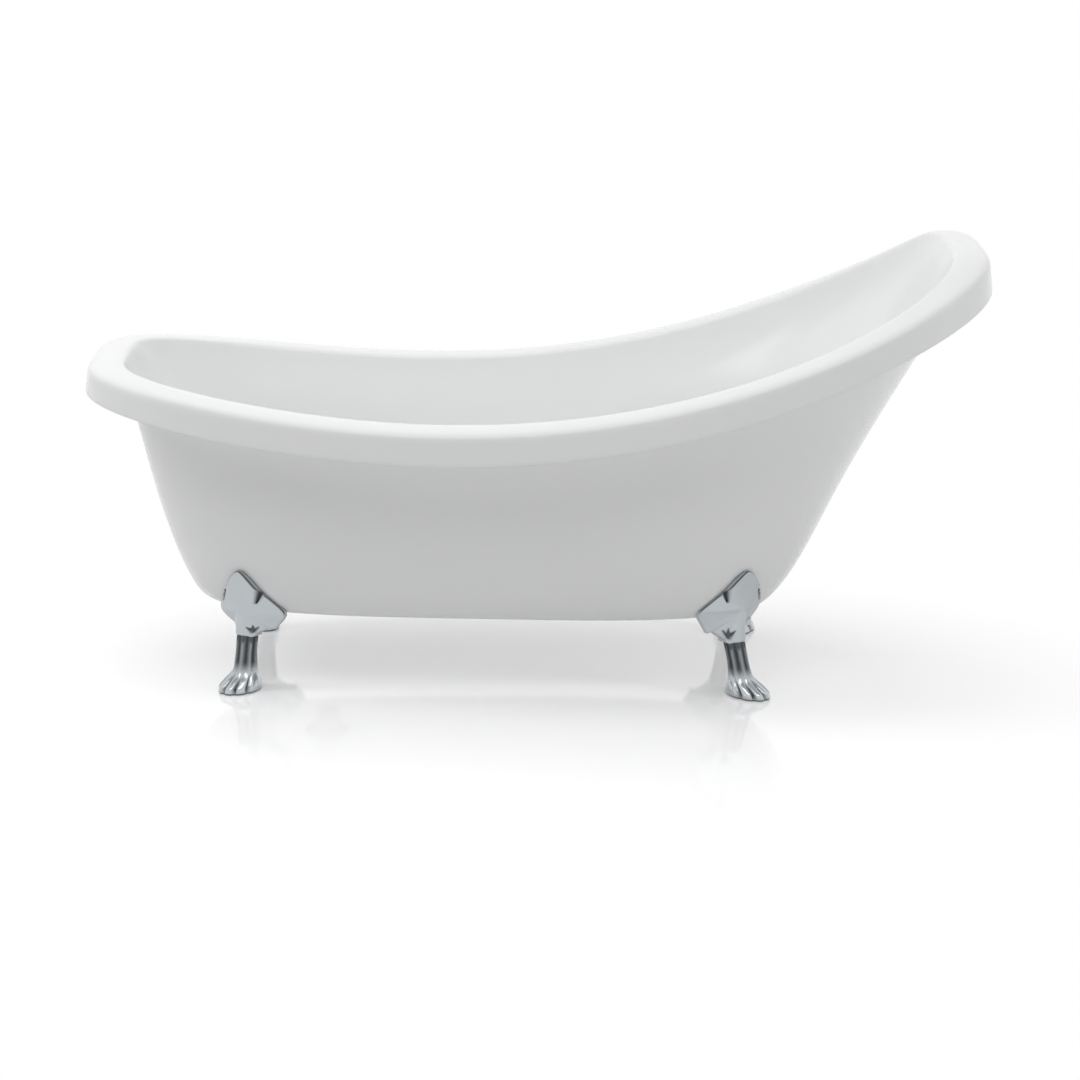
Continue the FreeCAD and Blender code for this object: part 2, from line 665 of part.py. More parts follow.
# ======================= all pieces =======================
def main():
    os.makedirs("parts", exist_ok=True)
    parts = {
        "inner_shell": inner_shell(),
        "outer_skirt": outer_skirt(),
        "base_board": base_board(),
        "foot_screws": Part.makeCompound([foot_screw(x, y) for x, y in bolt_places()]),
        "foot_washers": Part.makeCompound([washer(x, y) for x, y in bolt_places()]),
        "waste_flange": waste_flange(),
        "waste_gaskets": waste_gaskets(),
        "waste_body": waste_body(),
        "plug_cap": plug_cap(),
        "plug_seal": plug_seal(),
        "plug_stem": plug_stem(),
        "overflow_cover": overflow_cover(),
        "overflow_screw": overflow_screw(),
        "overflow_seal": overflow_seal(),
        "overflow_pipe": overflow_pipe(),
    }
    for end in FOOT_PLACES:
        casting = claw_foot(end)
        parts["claw_foot_front_" + end] = casting
        parts["claw_foot_back_" + end] = casting.mirror(Vector(), Vector(0, 1, 0))
    for place, (x, y) in leveller_places().items():
        parts["leveller_pad_" + place] = leveller_pad(x, y)
        parts["leveller_screw_" + place] = leveller_screw(x, y)
    for name, shape in parts.items():
        shape.exportStep("parts/" + name + ".step")


if __name__ == "__main__":
    main()
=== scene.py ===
"""Looks of a clawfoot slipper bath: gloss acrylic skins, cast chrome feet, fittings and a stage.

All forms are drawn in millimetres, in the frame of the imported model, and scaled to metres when a
mesh is made.  +X points to the high head end, +Y to the back and +Z up.
"""
import math

import bmesh
import bpy
from bpy.props import FloatProperty, FloatVectorProperty, IntProperty, PointerProperty
from mathutils import Matrix, Vector
from mathutils.bvhtree import BVHTree


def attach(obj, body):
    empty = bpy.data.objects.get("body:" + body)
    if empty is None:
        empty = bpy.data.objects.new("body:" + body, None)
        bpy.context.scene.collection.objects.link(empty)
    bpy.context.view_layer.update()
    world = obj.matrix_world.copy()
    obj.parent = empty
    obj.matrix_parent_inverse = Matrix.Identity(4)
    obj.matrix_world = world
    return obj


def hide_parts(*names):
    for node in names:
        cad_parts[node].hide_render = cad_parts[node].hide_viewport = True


bl_info = {
    "name": "Clawfoot Slipper Bath",
    "version": (1, 0, 0),
    "blender": (4, 5, 0),
    "location": "View3D > Sidebar > Bath",
    "description": "Builds the skins, feet, fittings and stage of a clawfoot slipper bath",
    "category": "Object",
}

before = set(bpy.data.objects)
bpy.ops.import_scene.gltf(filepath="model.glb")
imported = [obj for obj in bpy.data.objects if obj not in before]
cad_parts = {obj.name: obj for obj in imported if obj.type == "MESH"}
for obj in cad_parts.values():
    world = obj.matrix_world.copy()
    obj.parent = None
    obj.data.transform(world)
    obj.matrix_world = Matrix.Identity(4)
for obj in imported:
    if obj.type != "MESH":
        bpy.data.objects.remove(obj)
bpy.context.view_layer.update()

MM = 0.001
UP = Vector((0, 0, 1))

# ---- bath, in millimetres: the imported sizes, with a rim a hair smaller to stay inside its box ----
HALF_LENGTH = 850.0
RIM_HALF_WIDTH = 389.8
RIM_WIDENING = 0.097
FOOT_END_SQUARENESS = 3.30
HEAD_END_SQUARENESS = 3.45
BASE_SQUARENESS = 3.4
RIM_HEIGHT_TERMS = (550.3, 78.9, 201.1, 34.9, -30.8)
FOOT_END_TUCK = 0.18
APRON_DROP = 62.0
SOFFIT_DROP = 57.0
SKIRT_DROP = 59.0
BASE_HEIGHT = 146.0
FLOOR_HEIGHT = 190.0
FLOOR_FALL = 5.0
BOARD_TOP = 184.0
SKIRT_THICKNESS = 4.0
BASIN_BACKING = 6.0
UPPER_WALL_DROP = 135.0
WASTE_X = -400.0
WASTE_HOLE_RADIUS = 24.0
SERVICE_HOLE_RADIUS = 46.0
OVERFLOW_HEIGHT = 446.0
WALL_COLUMNS = 48
WALL_STEPS = 40
WALL_ROWS_BELOW_RIM = 240

# ---- feet, in millimetres ----
FOOT_TURN = 50.0
FOOT_PLACES = {"low": (-552.0, 208.0, -1), "high": (407.0, 208.0, 1)}
FOOT_LEAN = {"low": -3.0, "high": -21.0}
LEAF_RISE = {"low": 0.0, "high": 16.0}
LEAN_HEIGHT = 110.0
LEAF_BOTTOM = 112.0
LEAF_WIDEST = 151.0
SEAT_HEIGHT = 160.0
LEAF_GAP = 1.2
LUG_WIDTH = 40.0
LUG_THICKNESS = 12.0
LUG_REACH = 105.0
LUG_LENGTH = 95.0
BOLT_SETBACK = 87.0
BOLT_HOLE_RADIUS = 5.6
LEVELLER_SETBACK = 8.0
PAD_SPACE_RADIUS = 15.7
PAD_SPACE_HEIGHT = 5.4
LEVELLER_BORE = 5.2
LEVELLER_TOP = 50.0
# height, half width, half depth, forward shift, flute depth, depth of the gaps between toes
LEG_SECTIONS = [
    (1.0, 33.5, 45.5, 0.0, 0.0, 0.4),
    (4.0, 35.0, 47.0, 0.0, 0.0, 0.7),
    (12.0, 34.5, 45.5, -0.5, 0.0, 1.0),
    (22.0, 31.0, 38.0, -5.0, 0.0, 0.9),
    (32.0, 26.5, 28.5, -9.5, 0.25, 0.4),
    (42.0, 24.4, 24.5, -12.5, 0.7, 0.0),
    (70.0, 23.0, 21.4, -14.5, 1.0, 0.0),
    (104.0, 24.0, 20.5, -17.5, 1.0, 0.0),
    (124.0, 26.0, 19.0, -19.0, 0.6, 0.0),
    (142.0, 27.0, 17.0, -21.0, 0.3, 0.0),
]
PAW_REACH = {"low": 1.03, "high": 1.15}
FLUTE_ANGLES = [math.radians(-40 + 45 * k) for k in range(8)]
FLUTE_WIDTH = math.radians(16.5)
FLUTE_DEPTH = 4.0
TOE_GAP_ANGLES = [math.radians(turn) for turn in (-72, -36, 0, 36, 72)]
TOE_GAP_WIDTH = math.radians(6)
TOE_GAP_DEPTH = 5.0
# outline of the leaf as (side, height), with the tub's corner on the plus side
LEAF_OUTLINE = [
    (12, 107), (18, 116), (28, 125), (46, 134), (60, 147), (57, 163), (44, 181), (32, 200),
    (21, 215), (9, 229), (-3, 235), (-13, 230), (-24, 217), (-34, 201), (-46, 187), (-60, 169),
    (-69, 154), (-66, 142), (-57, 130), (-50, 121), (-44, 124), (-36, 119), (-25, 113), (-23, 107),
    (-12, 108), (-4, 108), (4, 108),
]
LEAF_CENTRE = (0.0, 160.0)
LEAF_EDGE = 5.5
LEAF_THICK_EDGE = 8.0
LEAF_LEAST = 4.0
LEAF_ROUNDING = 2.4
LEAF_SMOOTHING = 12
LEAF_RINGS = 34
LEAF_FACE_SHARE = 0.94
LEAF_MIDDLE_SHARE = 0.005
LEAF_BULGE = 1.7
NECK_AXIS = -18.0
NECK_DEPTH = 22.5
NECK_HALF_WIDTH = 26.0
LEAF_FRONT = ((104.0, 4.5), (235.0, 9.5))
SPRIG_PLACE = (-22.0, 117.0)
# cuts into the leaf, as (side, height) of the mouth and of the end, then half width and depth
LEAF_CUTS = [((-39.0, 197.0), (-31.0, 175.0), 5.0, 5.5), ((34.0, 192.0), (45.0, 168.0), 2.2, 2.5)]
SPRIG_STROKES = [((0.0, 0.0), (0.0, 12.0)), ((-1.0, 2.0), (-8.0, 9.0)), ((1.0, 2.0), (8.0, 9.0))]


# ======================= settings =======================
class SkinSettings(bpy.types.PropertyGroup):
    columns: IntProperty(name="Columns", description="Points around each skin", default=192, min=48)
    steps: IntProperty(name="Steps", description="Rows of faces for each drawn outline", default=7, min=2)
    edge_radius: FloatProperty(name="Edge radius", description="Rounding of the apron's lower edge",
                               default=1.6 * MM, unit="LENGTH")
    colour: FloatVectorProperty(name="Acrylic", description="Colour of the acrylic sheet",
                                subtype="COLOR", size=3, default=(0.86, 0.865, 0.87))
    roughness: FloatProperty(name="Roughness", description="Roughness of the acrylic",
                             default=0.21, subtype="FACTOR")


class FootSettings(bpy.types.PropertyGroup):
    points: IntProperty(name="Points", description="Points around each section of a foot",
                        default=160, min=24)
    rows: IntProperty(name="Rows", description="Sections between floor and leaf tip", default=150, min=20)
    bright: FloatVectorProperty(name="Chrome", description="Colour of the plated surface",
                                subtype="COLOR", size=3, default=(0.50, 0.53, 0.55))
    # dark: colour of the painted shade in flutes, cuts, toe gaps, under the leaf, at the base and along the
    # leaf's edges
    dark: FloatVectorProperty(name="Recess", description="Colour deep in the flutes and cuts",
                              subtype="COLOR", size=3, default=(0.045, 0.05, 0.052))


class FittingSettings(bpy.types.PropertyGroup):
    sides: IntProperty(name="Sides", description="Sides of a turned fitting", default=96, min=24)
    rubber: FloatVectorProperty(name="Rubber", description="Colour of seals and glides",
                                subtype="COLOR", size=3, default=(0.02, 0.02, 0.022))
    plastic: FloatVectorProperty(name="Plastic", description="Colour of the waste and its pipe",
                                 subtype="COLOR", size=3, default=(0.75, 0.75, 0.72))
    zinc: FloatVectorProperty(name="Zinc", description="Colour of plated steel fixings",
                              subtype="COLOR", size=3, default=(0.52, 0.53, 0.55))
    wood: FloatVectorProperty(name="Board", description="Colour of the base board",
                              subtype="COLOR", size=3, default=(0.45, 0.30, 0.16))


class StageSettings(bpy.types.PropertyGroup):
    floor_colour: FloatVectorProperty(name="Floor", description="Colour of the studio floor",
                                      subtype="COLOR", size=3, default=(0.92, 0.92, 0.925))
    floor_glow: FloatProperty(name="Floor glow", description="White that the camera sees in the floor",
                              default=0.25, min=0.0)
    distance: FloatProperty(name="Distance", description="From the camera to the bath's middle",
                            default=6.0, unit="LENGTH")
    elevation: FloatProperty(name="Elevation", description="Camera's height above the horizon",
                             default=math.radians(14.1414), subtype="ANGLE")
    roll: FloatProperty(name="Roll", description="Camera's turn about its own axis",
                        default=math.radians(-0.6), subtype="ANGLE")
    lens: FloatProperty(name="Lens", description="Focal length on a 36 mm sensor", default=103.604,
                        unit="CAMERA")


# ======================= outlines of the bath =======================
def rim_height(x):
    u = x / HALF_LENGTH
    return sum(term * u ** power for power, term in enumerate(RIM_HEIGHT_TERMS))


def oval_point(angle, foot_x, head_x, half_width, squareness):
    """Point of a superellipse that widens towards the head end."""
    c, s = math.cos(angle), math.sin(angle)
    reach = (abs(c) ** squareness + abs(s) ** squareness) ** (-1.0 / squareness)
    x = 0.5 * (foot_x + head_x) + 0.5 * (head_x - foot_x) * reach * c
    y = half_width * reach * s * (1.0 + RIM_WIDENING * x / HALF_LENGTH)
    return Vector((x, y, 0))


def column_angles(columns):
    return [2.0 * math.pi * column / columns for column in range(columns)]


def oval_row(columns, foot_x, head_x, half_width, height, squareness=BASE_SQUARENESS):
    """One closed outline; height is a number or a (foot end, head end) pair."""
    low, high = height if isinstance(height, tuple) else (height, height)
    row = []
    for angle in column_angles(columns):
        point = oval_point(angle, foot_x, head_x, half_width, squareness)
        share = (point.x - foot_x) / (head_x - foot_x)
        row.append(Vector((point.x, point.y, low + (high - low) * share)))
    return row


def rim_point(angle):
    squareness = HEAD_END_SQUARENESS if math.cos(angle) > 0 else FOOT_END_SQUARENESS
    return oval_point(angle, -HALF_LENGTH, HALF_LENGTH, RIM_HALF_WIDTH, squareness)


def rim_row(columns, inset, drop):
    """Outline inside the rim's outer edge and below its top; drops shrink at the foot end."""
    step = 1e-3
    row = []
    for angle in column_angles(columns):
        edge = rim_point(angle)
        outward = (rim_point(angle + step) - rim_point(angle - step)).cross(UP).normalized()
        point = edge - outward * inset
        tuck = 1.0 - FOOT_END_TUCK * max(0.0, -edge.x / HALF_LENGTH) ** 6
        row.append(Vector((point.x, point.y, rim_height(edge.x) - drop * tuck)))
    return row


def under_rim(row, drop, softness=30.0):
    """The row, lowered smoothly where it comes nearer to the rim's top than the drop."""
    for point in row:
        limit = rim_height(point.x) - drop
        point.z = 0.5 * (point.z + limit - math.sqrt((point.z - limit) ** 2 + softness ** 2))
    return row


def circle_row(columns, radius, height):
    return [Vector((WASTE_X + radius * math.cos(angle), radius * math.sin(angle), height))
            for angle in column_angles(columns)]


def basin_outlines(columns):
    head_floor = FLOOR_HEIGHT + FLOOR_FALL
    deep = [
        oval_row(columns, -515, 350, 160, (FLOOR_HEIGHT, head_floor), 2.8),
        oval_row(columns, -560, 402, 195, (FLOOR_HEIGHT, head_floor), 3.0),
        oval_row(columns, -602, 450, 226, (205, 222)),
        oval_row(columns, -630, 530, 248, (290, 345)),
        under_rim(oval_row(columns, -676, 637, 268, (404, 550)), UPPER_WALL_DROP),
    ]
    rolled = [(106, 90), (84, 34), (76, 10), (72, 0), (60, -2), (42, -2), (22, 0),
              (6, 7), (4, 27), (2, 46), (0, APRON_DROP)]
    return deep + [rim_row(columns, inset, drop) for inset, drop in rolled]


def skirt_outlines(columns):
    low = [
        oval_row(columns, -592, 400, 203, BASE_HEIGHT),
        oval_row(columns, -630, 438, 236, BASE_HEIGHT),
        oval_row(columns, -653, 466, 256, 167),
        oval_row(columns, -688, 520, 269, 246),
        oval_row(columns, -722, 598, 284, (350, 430)),
    ]
    hidden = [(91, 112), (82, 82), (79, SKIRT_DROP)]
    return low + [rim_row(columns, inset, drop) for inset, drop in hidden]


def flow_weights(count, place):
    """Shares of the outlines in the smooth form at one place, as a clamped cubic spline."""
    last = count - 3
    knots = [0] * 3 + list(range(last + 1)) + [last] * 3
    place = min(place, last - 1e-9)
    shares = [1.0 if knots[i] <= place < knots[i + 1] else 0.0 for i in range(len(knots) - 1)]
    for degree in (1, 2, 3):
        for i in range(len(shares) - degree):
            rising, falling = knots[i + degree] - knots[i], knots[i + degree + 1] - knots[i + 1]
            left = (place - knots[i]) / rising * shares[i] if rising else 0.0
            right = (knots[i + degree + 1] - place) / falling * shares[i + 1] if falling else 0.0
            shares[i] = left + right
    return shares[:count]


def flowing_rows(outlines, steps):
    """Rows of points along the smooth form drawn through the outlines."""
    spans = len(outlines) - 3
    rows = []
    for number in range(spans * steps + 1):
        shares = flow_weights(len(outlines), number / steps)
        used = [(share, row) for share, row in zip(shares, outlines) if share > 0]
        rows.append([sum((row[i] * share for share, row in used), Vector())
                     for i in range(len(outlines[0]))])
    return rows


def mixed_rows(first, last, count):
    """Rows that turn evenly from one outline into another, without the last."""
    return [[a.lerp(b, number / count) for a, b in zip(first, last)] for number in range(count)]


# ======================= meshes =======================
def new_piece(name, points, faces, material, smooth_angle=40.0):
    """Object from points in millimetres; edges sharper than the angle stay sharp."""
    mesh = bpy.data.meshes.new(name)
    mesh.from_pydata([point * MM for point in points], [], faces)
    shape = bmesh.new()
    shape.from_mesh(mesh)
    bmesh.ops.recalc_face_normals(shape, faces=shape.faces)
    shape.to_mesh(mesh)
    shape.free()
    mesh.materials.append(material)
    mesh.shade_smooth()
    mesh.set_sharp_from_angle(angle=math.radians(smooth_angle))
    piece = bpy.data.objects.new(name, mesh)
    bpy.context.scene.collection.objects.link(piece)
    return piece


def grid_faces(row_count, column_count, close_rows=False, start=0):
    faces = []
    for row in range(row_count if close_rows else row_count - 1):
        low, high = start + row * column_count, start + ((row + 1) % row_count) * column_count
        for i in range(column_count):
            ahead = (i + 1) % column_count
            faces.append((low + i, low + ahead, high + ahead, high + i))
    return faces


def set_painted_shade(piece, values):
    """Store the painted shade of each point, for the material's colour: dark in flutes, cuts, toe gaps, the
    leveller's bore, under the leaf, at the foot's base and along the leaf's edges.
    """
    layer = piece.data.attributes.new("recess", "FLOAT", "POINT")
    layer.data.foreach_set("value", values)


def turned_piece(name, profile, material, sides, place=Matrix.Identity(4)):
    """Piece turned from a closed (radius, height) profile about the place's Z axis."""
    points = [place @ Vector((radius * math.cos(turn), radius * math.sin(turn), height))
              for radius, height in profile for turn in column_angles(sides)]
    return new_piece(name, points, grid_faces(len(profile), sides, close_rows=True), material, 30.0)


def block_faces(points, faces, corners):
    """Add a six-sided block to lists of points and faces."""
    start = len(points)
    points += corners
    for quad in ((0, 3, 2, 1), (4, 5, 6, 7), (0, 1, 5, 4), (1, 2, 6, 5), (2, 3, 7, 6), (3, 0, 4, 7)):
        faces.append(tuple(start + corner for corner in quad))


# ======================= shader kit =======================
class Wire:
    """A socket that can be added, multiplied and so on, each time through a Math node."""

    def __init__(self, tree, socket):
        self.tree = tree
        self.socket = socket

    def _math(self, operation, first, second):
        return self.tree.node("ShaderNodeMath", {"operation": operation}, {0: first, 1: second})

    def __add__(self, other):
        return self._math("ADD", self, other)

    def __radd__(self, other):
        return self._math("ADD", other, self)

    def __sub__(self, other):
        return self._math("SUBTRACT", self, other)

    def __rsub__(self, other):
        return self._math("SUBTRACT", other, self)

    def __mul__(self, other):
        return self._math("MULTIPLY", self, other)

    def __rmul__(self, other):
        return self._math("MULTIPLY", other, self)


class Shader:
    """A node tree that is written as calls."""

    def __init__(self, owner):
        owner.use_nodes = True
        self.nodes = owner.node_tree.nodes
        self.links = owner.node_tree.links
        self.nodes.clear()

    def node(self, kind, settings=None, inputs=None, output=0):
        """One node with its settings and its inputs, which are values or wires."""
        made = self.nodes.new(kind)
        for name, value in (settings or {}).items():
            if name == "stops":
                self._set_stops(made.color_ramp, value)
            else:
                setattr(made, name, value)
        for name, value in (inputs or {}).items():
            socket = made.inputs[name]
            if isinstance(value, Wire):
                self.links.new(value.socket, socket)
            else:
                socket.default_value = value
        return Wire(self, made.outputs[output]) if len(made.outputs) else None

    @staticmethod
    def _set_stops(ramp, stops):
        while len(ramp.elements) < len(stops):
            ramp.elements.new(0.5)
        for element, (position, level) in zip(ramp.elements, stops):
            element.position = position
            element.color = (level, level, level, 1.0)

    def noise(self, scale, detail=2.0):
        place = self.node("ShaderNodeTexCoord", output="Object")
        return self.node("ShaderNodeTexNoise", {}, {"Vector": place, "Scale": scale, "Detail": detail})

    def ramp(self, value, stops):
        return self.node("ShaderNodeValToRGB", {"stops": stops}, {"Fac": value})

    def blend(self, factor, first, second):
        return self.node("ShaderNodeMix", {"data_type": "RGBA"}, {0: factor, 6: first, 7: second},
                         output=2)

    def bump(self, height, strength, distance):
        return self.node("ShaderNodeBump", {},
                         {"Height": height, "Strength": strength, "Distance": distance})

    def surface(self, inputs):
        shade = self.node("ShaderNodeBsdfPrincipled", {}, inputs)
        self.node("ShaderNodeOutputMaterial", {}, {"Surface": shade})


def opaque(colour):
    return (colour[0], colour[1], colour[2], 1.0)


def new_material(name):
    material = bpy.data.materials.new(name)
    return material, Shader(material)


# ======================= materials =======================
def acrylic_material(settings):
    """Gloss sheet: faint unevenness of the pressed sheet and of the polish."""
    material, shader = new_material("gloss_acrylic")
    colour = opaque(settings.colour)
    warm = (colour[0] * 0.985, colour[1] * 0.983, colour[2] * 0.978, 1.0)
    cloud = shader.noise(2.2, 3.0)
    polish = shader.noise(14.0, 4.0)
    shader.surface({
        "Base Color": shader.blend(cloud, colour, warm),
        "Roughness": settings.roughness + 0.05 * (polish - 0.5),
        "Normal": shader.bump(shader.noise(5.0, 1.0), 0.04, 0.004),
        "Coat Weight": 0.2,
        "Coat Roughness": 0.04,
        "Specular IOR Level": 0.5,
    })
    return material


def chrome_material(settings):
    """Cast and plated metal: soft casting waves, wiped streaks, and painted shade that darkens the flutes,
    toe gaps, the shaft under the leaf and the base.
    """
    material, shader = new_material("plated_chrome")
    # painted shade: the mesh's shade mask darkens the base colour towards the dark colour
    recess = shader.node("ShaderNodeAttribute", {"attribute_name": "recess"}, output="Fac")
    streak = shader.ramp(shader.noise(38.0, 5.0), [(0.35, 0.0), (0.7, 1.0)])
    wave = shader.noise(24.0, 2.0)
    shader.surface({
        "Base Color": shader.blend(recess, opaque(settings.bright), opaque(settings.dark)),
        "Metallic": 1.0,
        "Roughness": 0.11 + 0.05 * streak + 0.15 * recess,
        "Normal": shader.bump(wave, 0.12, 0.002),
    })
    return material


def satin_chrome_material(settings):
    """Plate of the leaf: the same chrome, softly polished, with faint wiped clouds, and painted shade along
    its upper edges, in its cuts and in the sprig.
    """
    material, shader = new_material("satin_chrome")
    # painted shade: the mesh's shade mask darkens the base colour towards the dark colour
    recess = shader.node("ShaderNodeAttribute", {"attribute_name": "recess"}, output="Fac")
    cloud = shader.noise(16.0, 4.0)
    bright = opaque(settings.bright)
    worn = (bright[0] * 0.94, bright[1] * 0.94, bright[2] * 0.94, 1.0)
    plate = shader.blend(cloud, bright, worn)
    shader.surface({
        "Base Color": shader.blend(recess, plate, opaque(settings.dark)),
        "Metallic": 1.0,
        "Roughness": 0.27 + 0.08 * cloud + 0.15 * recess,
        "Normal": shader.bump(shader.noise(30.0, 2.0), 0.05, 0.001),
    })
    return material


def plain_chrome_material(settings):
    """Smooth turned chrome with faint swirls from polishing."""
    material, shader = new_material("turned_chrome")
    swirl = shader.noise(60.0, 4.0)
    bright = opaque(settings.bright)
    worn = (bright[0] * 0.93, bright[1] * 0.93, bright[2] * 0.93, 1.0)
    shader.surface({
        "Base Color": shader.blend(swirl, bright, worn),
        "Metallic": 1.0,
        "Roughness": 0.06 + 0.06 * swirl,
        "Normal": shader.bump(swirl, 0.03, 0.0005),
    })
    return material


def rubber_material(settings):
    material, shader = new_material("moulded_rubber")
    grain = shader.noise(900.0, 3.0)
    dust = shader.ramp(shader.noise(40.0, 4.0), [(0.45, 0.0), (0.8, 1.0)])
    rubber = opaque(settings.rubber)
    shader.surface({
        "Base Color": shader.blend(0.25 * dust, rubber, (0.16, 0.155, 0.15, 1.0)),
        "Roughness": 0.62 + 0.2 * grain,
        "Normal": shader.bump(grain, 0.3, 0.0003),
    })
    return material


def plastic_material(settings):
    material, shader = new_material("moulded_plastic")
    grain = shader.noise(500.0, 2.0)
    plastic = opaque(settings.plastic)
    aged = (plastic[0] * 0.93, plastic[1] * 0.91, plastic[2] * 0.84, 1.0)
    shader.surface({
        "Base Color": shader.blend(shader.noise(9.0, 3.0), plastic, aged),
        "Roughness": 0.42 + 0.12 * grain,
        "Normal": shader.bump(grain, 0.12, 0.0002),
    })
    return material


def zinc_material(settings):
    material, shader = new_material("zinc_plate")
    spangle = shader.node("ShaderNodeTexVoronoi", {}, {
        "Vector": shader.node("ShaderNodeTexCoord", output="Object"), "Scale": 420.0}, output="Distance")
    zinc = opaque(settings.zinc)
    shader.surface({
        "Base Color": shader.blend(spangle, zinc, (0.40, 0.40, 0.39, 1.0)),
        "Metallic": 1.0,
        "Roughness": 0.30 + 0.2 * spangle,
        "Normal": shader.bump(spangle, 0.08, 0.0003),
    })
    return material


def board_material(settings):
    """Plywood: long grain on the face and thin layers on the edge."""
    material, shader = new_material("ply_board")
    place = shader.node("ShaderNodeTexCoord", output="Object")
    stretched = shader.node("ShaderNodeMapping", {}, {"Vector": place, "Scale": (2.0, 26.0, 10.0)})
    grain = shader.node("ShaderNodeTexNoise", {}, {"Vector": stretched, "Scale": 6.0, "Detail": 8.0})
    layers = shader.node("ShaderNodeTexWave", {"bands_direction": "Z"},
                         {"Vector": place, "Scale": 70.0, "Distortion": 0.6})
    wood = opaque(settings.wood)
    dark = (wood[0] * 0.62, wood[1] * 0.58, wood[2] * 0.5, 1.0)
    shader.surface({
        "Base Color": shader.blend(0.55 * grain + 0.35 * layers, wood, dark),
        "Roughness": 0.62 + 0.2 * grain,
        "Normal": shader.bump(grain, 0.25, 0.0006),
    })
    return material


def dress_node(node, material):
    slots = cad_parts[node].material_slots
    for slot in slots:
        slot.link = "OBJECT"
        slot.material = material


# ======================= skins =======================
class BATH_OT_basin(bpy.types.Operator):
    """Basin with its rolled rim, one smooth sheet from the waste hole to the back of the floor"""

    bl_idname = "bath.basin"
    bl_label = "Basin and rim"

    def execute(self, context):
        settings = context.scene.bath_skins
        columns = settings.columns
        radius = settings.edge_radius / MM
        outlines = basin_outlines(columns)
        front = flowing_rows(outlines, settings.steps)
        hole = circle_row(columns, WASTE_HOLE_RADIUS, FLOOR_HEIGHT + 0.6)
        rows = mixed_rows(hole, front[0], 12) + front
        for inset, drop in [(0.3, APRON_DROP + 0.6 * radius), (radius, APRON_DROP + radius),
                            (2.4 * radius, APRON_DROP + 0.4 * radius), (8, SOFFIT_DROP + 0.5),
                            (40, SOFFIT_DROP), (84, SOFFIT_DROP), (92, 74), (100, 94)]:
            rows.append(rim_row(columns, inset, drop))
        for outline in outlines[4:1:-1]:
            rows.append(self.moved(outline, BASIN_BACKING))
        under = [Vector((point.x, point.y, BOARD_TOP)) for point in outlines[0]]
        rows.append(under)
        rows.append(circle_row(columns, WASTE_HOLE_RADIUS, BOARD_TOP))
        points = [point for row in rows for point in row]
        basin = new_piece("basin_and_rim", points, grid_faces(len(rows), columns, close_rows=True),
                          bpy.data.materials["gloss_acrylic"], 50.0)
        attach(basin, "bath")
        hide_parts("inner_shell")
        return {"FINISHED"}

    @staticmethod
    def moved(row, outward):
        """The row moved along its own normal in plan."""
        out = []
        for i, point in enumerate(row):
            along = row[(i + 1) % len(row)] - row[i - 1]
            along.z = 0
            out.append(point + along.cross(UP).normalized() * outward - UP * 2.0)
        return out


class BATH_OT_skirt(bpy.types.Operator):
    """Outer skin from the service hole in its base up into the hollow of the rim"""

    bl_idname = "bath.skirt"
    bl_label = "Outer skin"

    def execute(self, context):
        settings = context.scene.bath_skins
        columns = settings.columns
        side = flowing_rows(skirt_outlines(columns), settings.steps * 2)
        lip = circle_row(columns, SERVICE_HOLE_RADIUS, BASE_HEIGHT + SKIRT_THICKNESS)
        hole = circle_row(columns, SERVICE_HOLE_RADIUS, BASE_HEIGHT)
        rows = [lip] + mixed_rows(hole, side[0], 12) + side
        points = [point for row in rows for point in row]
        skirt = new_piece("outer_skin", points, grid_faces(len(rows), columns),
                          bpy.data.materials["gloss_acrylic"], 50.0)
        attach(skirt, "bath")
        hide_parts("outer_skirt")
        return {"FINISHED"}


# ======================= feet =======================
def leg_at(height):
    """Section of the leg at any height, on a smooth curve through the drawn sections."""
    table = LEG_SECTIONS
    i = max(k for k in range(len(table) - 1) if table[k][0] <= max(height, table[0][0]))
    h0, h1 = table[i][0], table[i + 1][0]
    share = (height - h0) / (h1 - h0)

    def slope(k, item):
        a, b = max(k - 1, 0), min(k + 1, len(table) - 1)
        return (table[b][item] - table[a][item]) / (table[b][0] - table[a][0])

    values = []
    for item in range(1, 6):
        a, b = table[i][item], table[i + 1][item]
        ma, mb = slope(i, item) * (h1 - h0), slope(i + 1, item) * (h1 - h0)
        s2, s3 = share ** 2, share ** 3
        values.append((2 * s3 - 3 * s2 + 1) * a + (s3 - 2 * s2 + share) * ma
                      + (3 * s2 - 2 * s3) * b + (s3 - s2) * mb)
    return values


def turn_between(angle, other):
    return abs((angle - other + math.pi) % (2 * math.pi) - math.pi)


def bell(distance, width):
    return math.exp(-(distance / width) ** 2)


def rise(value, low, high):
    """0 below low, 1 above high and smooth between; low may be the larger."""
    share = min(max((value - low) / (high - low), 0.0), 1.0)
    return share * share * (3.0 - 2.0 * share)


def stroke_share(place, start, end, width):
    """1 on a tapering stroke from start to end and 0 away from it."""
    run, here = Vector(end) - Vector(start), Vector(place) - Vector(start)
    along = min(max(here.dot(run) / run.length_squared, 0.0), 1.0)
    return bell((here - run * along).length, width * (1.1 - 0.7 * along))


class Foot:
    """Place and directions of one front foot, with the tub's skin behind it."""

    def __init__(self, end, tree):
        x, reach, end_sign = FOOT_PLACES[end]
        turn = math.radians(FOOT_TURN)
        self.end = end
        self.tree = tree
        self.origin = Vector((x, -reach, 0))
        self.forward = Vector((end_sign * math.cos(turn), -math.sin(turn), 0))
        self.across = self.forward.cross(UP) * -end_sign

    def point(self, depth, side, height):
        return self.origin + self.forward * depth + self.across * side + UP * height

    def skin_depth(self, side, height):
        """Depth of the tub's skin at a place; below the seat it keeps the seat's."""
        start = self.point(200.0, side, max(height, SEAT_HEIGHT))
        hit = self.tree.ray_cast(start, -self.forward)[0]
        return (hit - self.origin).dot(self.forward) if hit else -60.0


